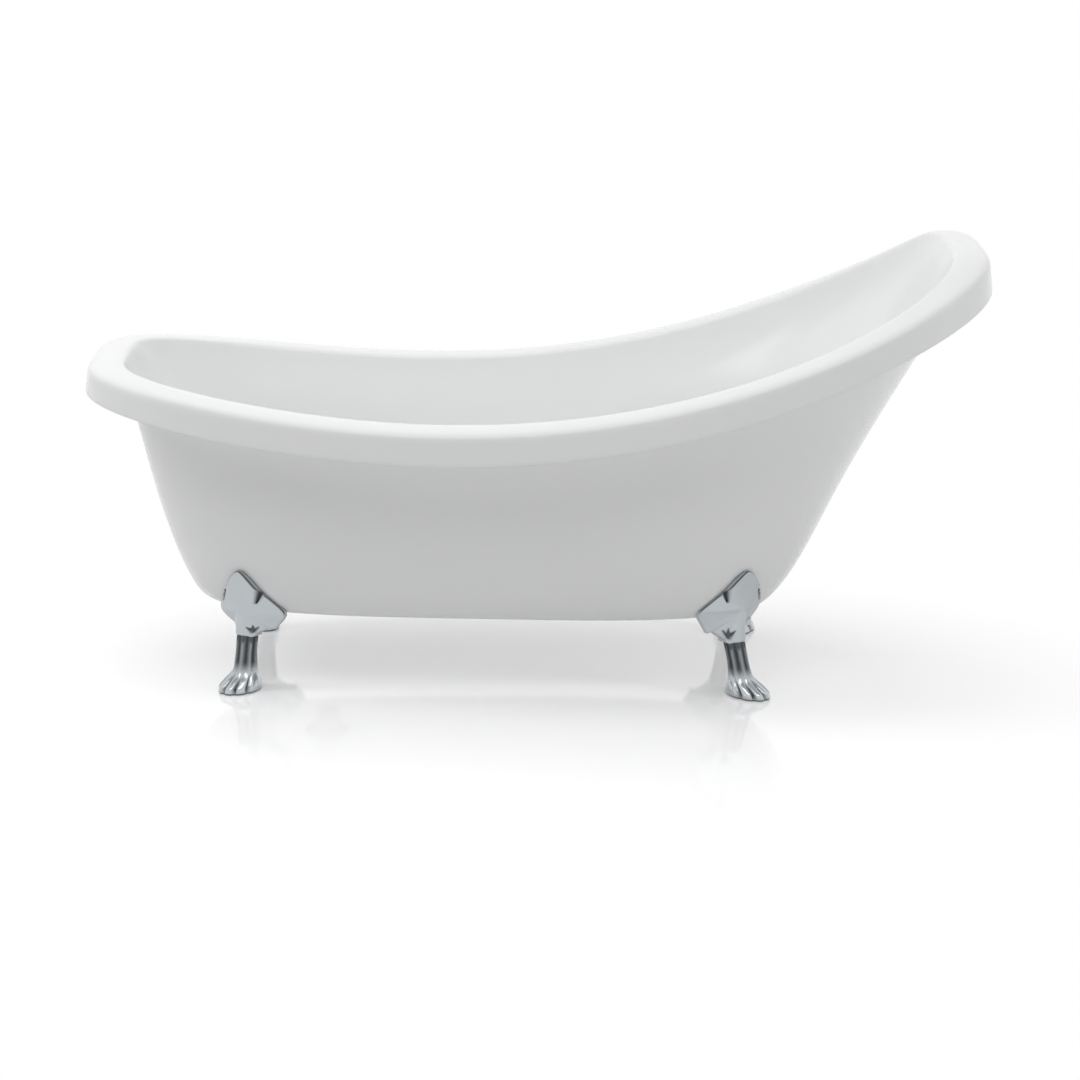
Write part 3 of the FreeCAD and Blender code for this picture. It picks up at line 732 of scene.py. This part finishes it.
def leaf_outline(spans=8):
    """Closed smooth curve through the drawn outline, with small scallops on the corner side."""
    corners = [Vector(corner) for corner in LEAF_OUTLINE]
    count = len(corners)
    curve = []
    for i in range(count):
        p0, p1, p2, p3 = (corners[(i + k) % count] for k in (-1, 0, 1, 2))
        for number in range(spans):
            t = number / spans
            point = 0.5 * (2 * p1 + (p2 - p0) * t + (2 * p0 - 5 * p1 + 4 * p2 - p3) * t * t
                           + (3 * p1 - p0 - 3 * p2 + p3) * t ** 3)
            if point.x > 0 and 164 < point.y < 214:
                point.x += 1.2 * math.sin(point.y * 0.6) * rise(point.y, 164, 172) * rise(point.y, 214, 206)
            curve.append(point)
    return curve


def leaf_straight(height):
    """Depth of the leaf's middle line, which stands nearly upright over the leg."""
    (h0, d0), (h1, d1) = LEAF_FRONT
    return d0 + (d1 - d0) * (height - h0) / (h1 - h0)


def leaf_back(foot, place):
    lean, lift = leaf_shift(foot.end, place.y)
    return foot.skin_depth(place.x + lean, place.y + lift) + LEAF_GAP


def leaf_edge(foot, corner):
    """Depths of the leaf's back and front at one corner of its outline."""
    side, height = corner
    back = leaf_back(foot, corner)
    neck = rise(abs(side), 52.0, 24.0) * rise(height, 142.0, 110.0)
    upper = rise(side, 2.0, -12.0) * rise(height, 188.0, 197.0)
    front = back + LEAF_EDGE + LEAF_THICK_EDGE * upper
    around = math.sqrt(max(1.0 - (side / NECK_HALF_WIDTH) ** 2, 0.0))
    return back, front + (NECK_AXIS + NECK_DEPTH * around - front) * neck


def smoothed_ring(values, reach):
    """Values around a closed outline, each mixed with its neighbours."""
    shares = [1.0 - abs(step) / (reach + 1) for step in range(-reach, reach + 1)]
    total = sum(shares)
    return [sum(share * values[(i + step) % len(values)]
                for share, step in zip(shares, range(-reach, reach + 1))) / total
            for i in range(len(values))]


def leaf_marks(place):
    """How deep the cuts and the small sprig go at a place on the leaf, and how much painted shade darkens
    them.
    """
    cut, shade = 0.0, 0.0
    for start, end, width, deep in LEAF_CUTS:
        here = stroke_share(place, start, end, width)
        cut, shade = max(cut, here * deep), max(shade, min(1.3 * here, 1.0))
    for start, end in SPRIG_STROKES:
        base = Vector(SPRIG_PLACE)
        here = stroke_share(place, base + Vector(start), base + Vector(end), 2.6)
        cut, shade = max(cut, here * 1.2), max(shade, here)
    return cut, shade


def leaf_shift(end, height):
    """How far the leaf leans along the side and rises at this end of the tub."""
    climb = min(max((height - LEAF_BOTTOM) / (LEAF_WIDEST - LEAF_BOTTOM), 0.0), 1.0)
    return FOOT_LEAN[end] * min(height / LEAN_HEIGHT, 1.0), LEAF_RISE[end] * climb


def leaf_form(foot):
    """Points, faces and painted shade of the leaf, from its back's middle over the edge to the front."""
    outline = leaf_outline()
    centre = Vector(LEAF_CENTRE)
    backs, fronts = zip(*[leaf_edge(foot, corner) for corner in outline])
    fronts = smoothed_ring(fronts, LEAF_SMOOTHING)
    edges = [(back, max(front, back + LEAF_LEAST)) for back, front in zip(backs, fronts)]
    rows, recess = [], []

    def put(row, place, depth):
        lean, lift = leaf_shift(foot.end, place.y)
        row.append(foot.point(depth, place.x + lean, place.y + lift))

    for share in (0.02, 0.3, 0.55, 0.8):
        row = []
        for corner in outline:
            place = centre + (corner - centre) * share
            put(row, place, leaf_back(foot, place))
        rows.append(row)
        # painted shade over the leaf's back
        recess.extend([0.3] * len(row))
    # painted shade: dark lines along the leaf's upper edge wall and its front rounding, none on the lower
    # lobes
    for share, shade in ((0.0, 0.9), (0.1, 0.7), (0.2, 0.05), (0.8, 0.05), (0.9, 0.7)):
        row = []
        for corner, (back, front) in zip(outline, edges):
            put(row, corner, back + (front - LEAF_ROUNDING - back) * share)
            recess.append(shade * rise(corner.y, 146.0, 158.0))
        rows.append(row)
    rounding = [(0.0, 1.0), (0.35, 0.9), (1.0, 0.5), (1.9, 0.1), (2.6, 0.0)]
    insets = rounding + [(None, 0.0)] * LEAF_RINGS
    for number, (inset, shade) in enumerate(insets):
        row = []
        for corner, (back, front) in zip(outline, edges):
            out = corner - centre
            share = 1.0 - inset / out.length if inset is not None else (
                LEAF_FACE_SHARE * (1.0 - (number - len(rounding) + 1) / LEAF_RINGS)
                + LEAF_MIDDLE_SHARE)
            place = centre + out * share
            sunk = 0.0
            if inset is not None:
                left = max(LEAF_ROUNDING - inset, 0.0)
                sunk = LEAF_ROUNDING - math.sqrt(LEAF_ROUNDING ** 2 - left ** 2)
            depth = front + (leaf_straight(place.y) - front) * (1.0 - share ** LEAF_BULGE)
            depth = max(depth, leaf_back(foot, place) + LEAF_LEAST)
            cut, dark = leaf_marks(place)
            put(row, place, depth - sunk - cut)
            # painted shade in the cuts and the sprig, and along the edge's rounding
            recess.append(max(dark, shade * rise(corner.y, 146.0, 158.0)))
        rows.append(row)
    points = [point for row in rows for point in row]
    columns = len(outline)
    faces = grid_faces(len(rows), columns)
    faces.append(tuple(reversed(range(columns))))
    faces.append(tuple(range((len(rows) - 1) * columns, len(rows) * columns)))
    return points, faces, recess


def leg_point(foot, angle, height):
    """Point on the leg or paw, and its painted shade."""
    width, half_depth, shift, flute, gap_depth = leg_at(height)
    flute, gap_depth = min(max(flute, 0.0), 1.0), min(max(gap_depth, 0.0), 1.0)
    reach = 1.0 + (PAW_REACH[foot.end] - 1.0) * rise(height, 40.0, 10.0)
    groove = max(bell(turn_between(angle, place), FLUTE_WIDTH) for place in FLUTE_ANGLES)
    gap = max(bell(turn_between(angle, place), TOE_GAP_WIDTH) for place in TOE_GAP_ANGLES)
    sink = 1.0 - (FLUTE_DEPTH * flute * groove + TOE_GAP_DEPTH * gap_depth * gap) / width
    side = width * math.sin(angle) * sink
    depth = half_depth * math.cos(angle) * sink * (reach if math.cos(angle) > 0 else 1.0)
    # painted shade in the flutes up the shaft and the gaps between toes, a painted shadow over the shaft's
    # top under the leaf, and a thin painted contact shadow at the base
    darkening = rise(height, 30.0, 58.0)
    shade = max(darkening * groove ** 0.4, 0.9 * gap_depth * gap, 0.9 * rise(height, 78.0, 100.0),
                0.9 * rise(height, 5.5, 2.0))
    lean = FOOT_LEAN[foot.end] * min(height / LEAN_HEIGHT, 1.0)
    return foot.point(shift + depth, lean + side, height), shade


def leg_form(foot, settings):
    """Points, faces and painted shade of the leg: leveller's bore, sole, paw and fluted shaft."""
    angles = column_angles(settings.points)
    points, recess = [], []
    for radius, height in ((0.3, LEVELLER_TOP), (LEVELLER_BORE, LEVELLER_TOP),
                           (LEVELLER_BORE, PAD_SPACE_HEIGHT), (PAD_SPACE_RADIUS, PAD_SPACE_HEIGHT),
                           (PAD_SPACE_RADIUS, LEG_SECTIONS[0][0])):
        for angle in angles:
            points.append(foot.point(radius * math.cos(angle) - LEVELLER_SETBACK,
                                     radius * math.sin(angle), height))
            # painted shade inside the leveller's bore and the pad's space
            recess.append(1.0)
    low, high = LEG_SECTIONS[0][0], LEG_SECTIONS[-1][0]
    for number in range(settings.rows):
        for angle in angles:
            point, shade = leg_point(foot, angle, low + (high - low) * number / (settings.rows - 1))
            points.append(point)
            recess.append(shade)
    count = settings.rows + 5
    faces = grid_faces(count, settings.points)
    faces.append(tuple(range((count - 1) * settings.points, count * settings.points)))
    return points, faces, recess


def lug_form(foot):
    """Lug behind the leg, with a round hole for its fixing; its rows run down, out, up and in."""
    sides = 64
    bottom, top = BASE_HEIGHT - LUG_THICKNESS, BASE_HEIGHT - 0.05
    points = []
    for hole, height in ((True, bottom), (True, top), (False, top), (False, bottom)):
        for angle in column_angles(sides):
            c, s = math.cos(angle), math.sin(angle)
            if hole:
                depth, side = BOLT_HOLE_RADIUS * c - BOLT_SETBACK, BOLT_HOLE_RADIUS * s
            else:
                front, back = LUG_LENGTH - LUG_REACH + BOLT_SETBACK, BOLT_SETBACK - LUG_REACH
                scale = min((front if c > 0 else back) / c if abs(c) > 1e-6 else 1e6,
                            0.5 * LUG_WIDTH / abs(s) if abs(s) > 1e-6 else 1e6)
                depth, side = scale * c - BOLT_SETBACK, scale * s
            points.append(foot.point(depth, side, height))
    return points, grid_faces(4, sides, close_rows=True), [0.0] * len(points)


class BATH_OT_feet(bpy.types.Operator):
    """Four cast feet: paw and fluted leg, leaf against the skin, and the lug for its fixing"""

    bl_idname = "bath.feet"
    bl_label = "Claw feet"

    def execute(self, context):
        skirt = bpy.data.objects["outer_skin"]
        tree = BVHTree.FromPolygons([vertex.co / MM for vertex in skirt.data.vertices],
                                    [list(polygon.vertices) for polygon in skirt.data.polygons])
        chrome, satin = bpy.data.materials["plated_chrome"], bpy.data.materials["satin_chrome"]
        for end in FOOT_PLACES:
            foot = Foot(end, tree)
            forms = [("leg", leg_form(foot, context.scene.bath_feet), chrome),
                     ("leaf", leaf_form(foot), satin), ("lug", lug_form(foot), satin)]
            for label, (points, faces, recess), material in forms:
                for side_name, mirror in (("front", 1.0), ("back", -1.0)):
                    placed = [Vector((point.x, point.y * mirror, point.z)) for point in points]
                    piece = new_piece(label + "_" + side_name + "_" + end, placed, faces, material, 50.0)
                    set_painted_shade(piece, recess)
                    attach(piece, "bath")
                    if label == "leg":
                        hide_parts("claw_foot_" + side_name + "_" + end)
        return {"FINISHED"}


# ======================= fittings =======================
def wall_place():
    """Matrix of the overflow on the foot end wall: Z leaves the wall, X climbs it."""
    outlines = [[outline[WALL_COLUMNS // 2]] for outline in basin_outlines(WALL_COLUMNS)]
    rows = flowing_rows(outlines, WALL_STEPS)
    i = min(range(1, WALL_ROWS_BELOW_RIM), key=lambda k: abs(rows[k][0].z - OVERFLOW_HEIGHT))
    climb = (rows[i + 1][0] - rows[i - 1][0]).normalized()
    out = Vector((climb.z, 0, -climb.x))
    side = out.cross(climb)
    turn = Matrix((climb, side, out)).transposed().to_4x4()
    return Matrix.Translation(rows[i][0]) @ turn


class BATH_OT_waste(bpy.types.Operator):
    """Waste in the basin's floor: polished flange, strainer cross and domed plug"""

    bl_idname = "bath.waste"
    bl_label = "Waste and plug"

    def execute(self, context):
        sides = context.scene.bath_fittings.sides
        chrome = bpy.data.materials["turned_chrome"]
        centre = Matrix.Translation((WASTE_X, 0, 0))
        flange = turned_piece("waste_ring", [
            (20, 157), (23, 157), (23, 190.2), (34.6, 190.2), (35, 190.7), (34.4, 191.6), (32.6, 192.4),
            (30, 192.6), (27, 192.3), (23.6, 191.0), (21.2, 189.2), (20, 187)], chrome, sides, centre)
        points, faces = [], []
        for k in range(4):
            turn = Matrix.Rotation(k * math.pi / 2, 4, "Z")
            bar = [(4.6, -1.5), (21.0, -1.5), (21.0, 1.5), (4.6, 1.5)]
            corners = [centre @ turn @ Vector((x, y, z)) for z in (168.0, 173.0) for x, y in bar]
            block_faces(points, faces, corners)
        cross = new_piece("strainer_cross", points, faces, chrome)
        hub = turned_piece("strainer_hub", [(4.05, 168), (6.4, 168), (7, 169), (7, 181), (6.2, 182),
                                            (4.05, 182)], chrome, sides, centre)
        dome = turned_piece("plug_dome", [
            (0.01, 194.2), (30.2, 194.2), (31, 194.7), (30.9, 195.3), (29.4, 196.1), (25, 197.0),
            (18, 197.7), (9, 198.1), (0.01, 198.2)], chrome, sides, centre)
        for piece in (flange, cross, hub):
            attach(piece, "bath")
        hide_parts("waste_flange")
        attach(dome, "plug")
        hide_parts("plug_cap")
        return {"FINISHED"}


class BATH_OT_overflow(bpy.types.Operator):
    """Overflow on the foot end wall: domed cover with dark blocks for its water slots, and its screw"""

    bl_idname = "bath.overflow"
    bl_label = "Overflow cover"

    def execute(self, context):
        sides = context.scene.bath_fittings.sides
        chrome = bpy.data.materials["turned_chrome"]
        place = wall_place()
        cover = turned_piece("overflow_dome", [
            (31, -0.4), (33, -0.4), (33, 4.6), (32.4, 6.2), (30.6, 7.2), (26, 8.2), (18, 8.8), (9, 9),
            (2.7, 9), (2.7, 7), (31, 5.8)], chrome, sides, place)
        # painted shade: dark blocks in the rubber's colour on the cover's side wall stand in for the shade
        # inside its water slots
        points, faces = [], []
        for turn_degrees in (150, 180, 210):
            turn = Matrix.Rotation(math.radians(turn_degrees), 4, "Z")
            edge = [(32.0, -4.4), (33.15, -4.4), (33.15, 4.4), (32.0, 4.4)]
            block_faces(points, faces, [place @ turn @ Vector((x, y, z)) for z in (-0.4, 3.9)
                                        for x, y in edge])
        slot_shades = new_piece("overflow_slot_shade", points, faces, bpy.data.materials["moulded_rubber"])
        screw = turned_piece("overflow_screw_head", [
            (0.01, -18), (2.5, -18), (2.5, 9.1), (5, 9.1), (5, 9.8), (4.3, 10.8), (2.6, 11.35),
            (0.01, 11.4)], chrome, sides, place)
        for piece in (cover, slot_shades, screw):
            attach(piece, "bath")
        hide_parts("overflow_cover")
        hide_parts("overflow_screw")
        return {"FINISHED"}


class BATH_OT_finishes(bpy.types.Operator):
    """Materials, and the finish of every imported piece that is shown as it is"""

    bl_idname = "bath.finishes"
    bl_label = "Finishes"

    def execute(self, context):
        scene = context.scene
        fittings = scene.bath_fittings
        acrylic_material(scene.bath_skins)
        chrome_material(scene.bath_feet)
        satin_chrome_material(scene.bath_feet)
        plain_chrome_material(scene.bath_feet)
        rubber, plastic = rubber_material(fittings), plastic_material(fittings)
        zinc, board = zinc_material(fittings), board_material(fittings)
        dressed = {"base_board": board, "waste_body": plastic, "overflow_pipe": plastic,
                   "foot_screws": zinc, "foot_washers": zinc, "plug_stem": zinc,
                   "waste_gaskets": rubber, "plug_seal": rubber, "overflow_seal": rubber}
        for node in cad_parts:
            if node.startswith("leveller_pad"):
                dressed[node] = rubber
            elif node.startswith("leveller_screw"):
                dressed[node] = zinc
        for node, material in dressed.items():
            dress_node(node, material)
        return {"FINISHED"}


# ======================= stage =======================
class BATH_OT_stage(bpy.types.Operator):
    """White studio: floor with a soft shadow, lights, surroundings and the camera"""

    bl_idname = "bath.stage"
    bl_label = "Stage"

    floor_half = 9.0
    principal_offset = (5.765, -53.572)
    focal_pixels = 3108.12
    aim = Vector((0, 0, 0.35))

    def execute(self, context):
        settings = context.scene.bath_stage
        self.floor(settings)
        self.surroundings(context.scene)
        self.lamps(context.scene)
        self.camera(context.scene, settings)
        context.scene.view_settings.view_transform = "Standard"
        return {"FINISHED"}

    def floor(self, settings):
        material, shader = new_material("studio_floor")
        place = shader.node("ShaderNodeTexCoord", output="Object")
        spot = shader.node("ShaderNodeMapping", {"vector_type": "POINT"}, {
            "Vector": place, "Location": (0.0, 0.24, 0.0), "Scale": (1.0, 1.45, 1.0)})
        distance = shader.node("ShaderNodeVectorMath", {"operation": "LENGTH"}, {0: spot}, output="Value")
        far = shader.ramp(distance * 0.5, [(0.34, 0.0), (0.62, 1.0)])
        grain = shader.noise(60.0, 3.0)
        path = shader.node("ShaderNodeLightPath", output="Is Camera Ray")
        glossy = shader.node("ShaderNodeLightPath", output="Is Glossy Ray")
        seen = path + glossy
        near = shader.node("ShaderNodeBsdfPrincipled", {}, {
            "Base Color": opaque(settings.floor_colour), "Roughness": 0.05 + 0.03 * grain,
            "Emission Color": shader.blend(seen, (0, 0, 0, 1), (1, 1, 1, 1)),
            "Emission Strength": settings.floor_glow})
        white = shader.node("ShaderNodeEmission", {}, {"Color": (1, 1, 1, 1), "Strength": 1.0})
        mixed = shader.node("ShaderNodeMixShader", {}, {0: far * seen, 1: near, 2: white})
        shader.node("ShaderNodeOutputMaterial", {}, {"Surface": mixed})
        half = self.floor_half / MM
        corners = [Vector((x, y, 0))
                   for x, y in ((-half, -half), (half, -half), (half, half), (-half, half))]
        floor = new_piece("studio_floor", corners, [(0, 1, 2, 3)], material)

    @staticmethod
    def surroundings(scene):
        world = bpy.data.worlds.new("studio_surroundings")
        scene.world = world
        shader = Shader(world)
        ray = shader.node("ShaderNodeTexCoord", output="Generated")
        height = shader.node("ShaderNodeSeparateXYZ", {}, {0: ray}, output="Z")
        glow = shader.ramp(0.5 * height + 0.5, [(0.40, 0.34), (0.56, 0.50), (1.0, 1.0)])
        soft = shader.node("ShaderNodeBackground", {}, {"Color": glow, "Strength": 0.46})
        white = shader.node("ShaderNodeBackground", {}, {"Color": (1, 1, 1, 1), "Strength": 1.0})
        camera_ray = shader.node("ShaderNodeLightPath", output="Is Camera Ray")
        glossy_ray = shader.node("ShaderNodeLightPath", output="Is Glossy Ray")
        mixed = shader.node("ShaderNodeMixShader", {}, {0: camera_ray + glossy_ray, 1: soft, 2: white})
        shader.node("ShaderNodeOutputWorld", {}, {"Surface": mixed})

    @staticmethod
    def lamps(scene):
        """Large box overhead, a softer one in front of it and a strip at each end."""
        for name, place, aim, size, power, mirrored in [
                ("overhead_box", (-0.5, 0.3, 3.2), (0, 0.1, 0), (3.0, 1.8), 35.0, False),
                ("front_box", (0.0, -2.5, 3.6), (0, -0.2, 0.3), (3.6, 1.2), 23.0, True),
                ("foot_end_strip", (-2.9, -0.5, 2.7), (0.2, 0, 0.5), (0.8, 1.8), 25.0, False),
                ("head_end_strip", (3.2, -1.2, 1.6), (0.5, 0, 0.6), (0.8, 1.8), 17.0, False)]:
            lamp = bpy.data.lights.new(name, "AREA")
            lamp.shape = "RECTANGLE"
            lamp.size, lamp.size_y = size
            lamp.energy = power
            holder = bpy.data.objects.new(name, lamp)
            holder.location = place
            holder.visible_glossy = mirrored
            holder.rotation_euler = (Vector(aim) - Vector(place)).to_track_quat("-Z", "Y").to_euler()
            scene.collection.objects.link(holder)

    def camera(self, scene, settings):
        back = Vector((0, -math.cos(settings.elevation), math.sin(settings.elevation)))
        right = Vector((1, 0, 0))
        up = back.cross(right)
        c, s = math.cos(settings.roll), math.sin(settings.roll)
        picture_right, picture_up = right * c - up * s, right * s + up * c
        aside, above = self.principal_offset
        look = back * -self.focal_pixels + picture_right * aside + picture_up * above
        away = -look.normalized()
        level = (picture_right - away * picture_right.dot(away)).normalized()
        lens = bpy.data.cameras.new("photo_camera")
        lens.lens = settings.lens
        lens.sensor_width = 36.0
        holder = bpy.data.objects.new("photo_camera", lens)
        turn = Matrix((level, away.cross(level), away)).transposed().to_4x4()
        holder.matrix_world = Matrix.Translation(self.aim + back * settings.distance) @ turn
        scene.collection.objects.link(holder)
        scene.camera = holder


class BATH_PT_sidebar(bpy.types.Panel):
    """Sidebar panel that lists the bath's pieces"""

    bl_label = "Clawfoot Slipper Bath"
    bl_space_type = "VIEW_3D"
    bl_region_type = "UI"
    bl_category = "Bath"

    def draw(self, context):
        for operator in OPERATORS:
            self.layout.operator(operator.bl_idname)
        for group in GROUPS:
            settings = getattr(context.scene, group)
            for name in settings.bl_rna.properties.keys():
                if name not in ("rna_type", "name"):
                    self.layout.prop(settings, name)


GROUPS = {"bath_skins": SkinSettings, "bath_feet": FootSettings,
          "bath_fittings": FittingSettings, "bath_stage": StageSettings}
OPERATORS = [BATH_OT_finishes, BATH_OT_basin, BATH_OT_skirt, BATH_OT_feet, BATH_OT_waste,
             BATH_OT_overflow, BATH_OT_stage]


def register():
    for cls in list(GROUPS.values()) + OPERATORS + [BATH_PT_sidebar]:
        bpy.utils.register_class(cls)
    for group, cls in GROUPS.items():
        setattr(bpy.types.Scene, group, PointerProperty(type=cls))


def unregister():
    for group in GROUPS:
        delattr(bpy.types.Scene, group)
    for cls in reversed(list(GROUPS.values()) + OPERATORS + [BATH_PT_sidebar]):
        bpy.utils.unregister_class(cls)


def main():
    register()
    bpy.ops.bath.finishes()
    bpy.ops.bath.basin()
    bpy.ops.bath.skirt()
    bpy.ops.bath.feet()
    bpy.ops.bath.waste()
    bpy.ops.bath.overflow()
    bpy.ops.bath.stage()


if __name__ == "__main__":
    main()
